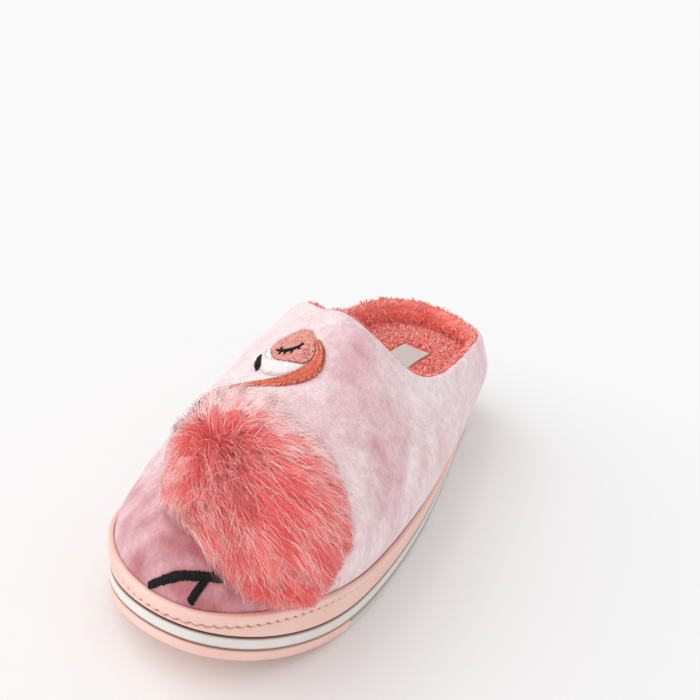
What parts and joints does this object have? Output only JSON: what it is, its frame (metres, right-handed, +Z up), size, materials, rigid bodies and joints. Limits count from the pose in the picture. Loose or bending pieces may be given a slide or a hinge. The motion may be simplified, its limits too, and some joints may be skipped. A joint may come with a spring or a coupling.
{
  "type": "house slipper",
  "caption": "House slipper for the right foot: closed-heel plush upper on a moulded two-colour sole, with a fleece footbed and a fur pompom on the vamp.",
  "frame": {"origin": "on the floor, under the middle of the slipper's box in plan", "axes": "+Z up, toe towards -Y, heel towards +Y, inner (big toe) side of the right foot towards +X"},
  "size_m": [0.0948, 0.2562, 0.0876],
  "materials": {
    "velour": "pale pink crushed velour",
    "fleece": "coral curly fleece",
    "fur": "long coral fur with pale tips",
    "woven": "off-white woven tape",
    "pink_rubber": "matt salmon moulded rubber",
    "white_rubber": "matt off-white moulded rubber"
  },
  "bodies": {
    "root": {"upper": "velour", "insole": "fleece", "insole_label": "woven", "pompom": "fur", "rand": "pink_rubber", "midsole": "white_rubber", "pad_heel": "pink_rubber", "pad_heel_band": "pink_rubber", "pad_arch_inner": "pink_rubber", "pad_arch_centre": "pink_rubber", "pad_arch_outer": "pink_rubber", "pad_fore_band": "pink_rubber", "pad_toe": "pink_rubber"}
  },
  "joints": []
}
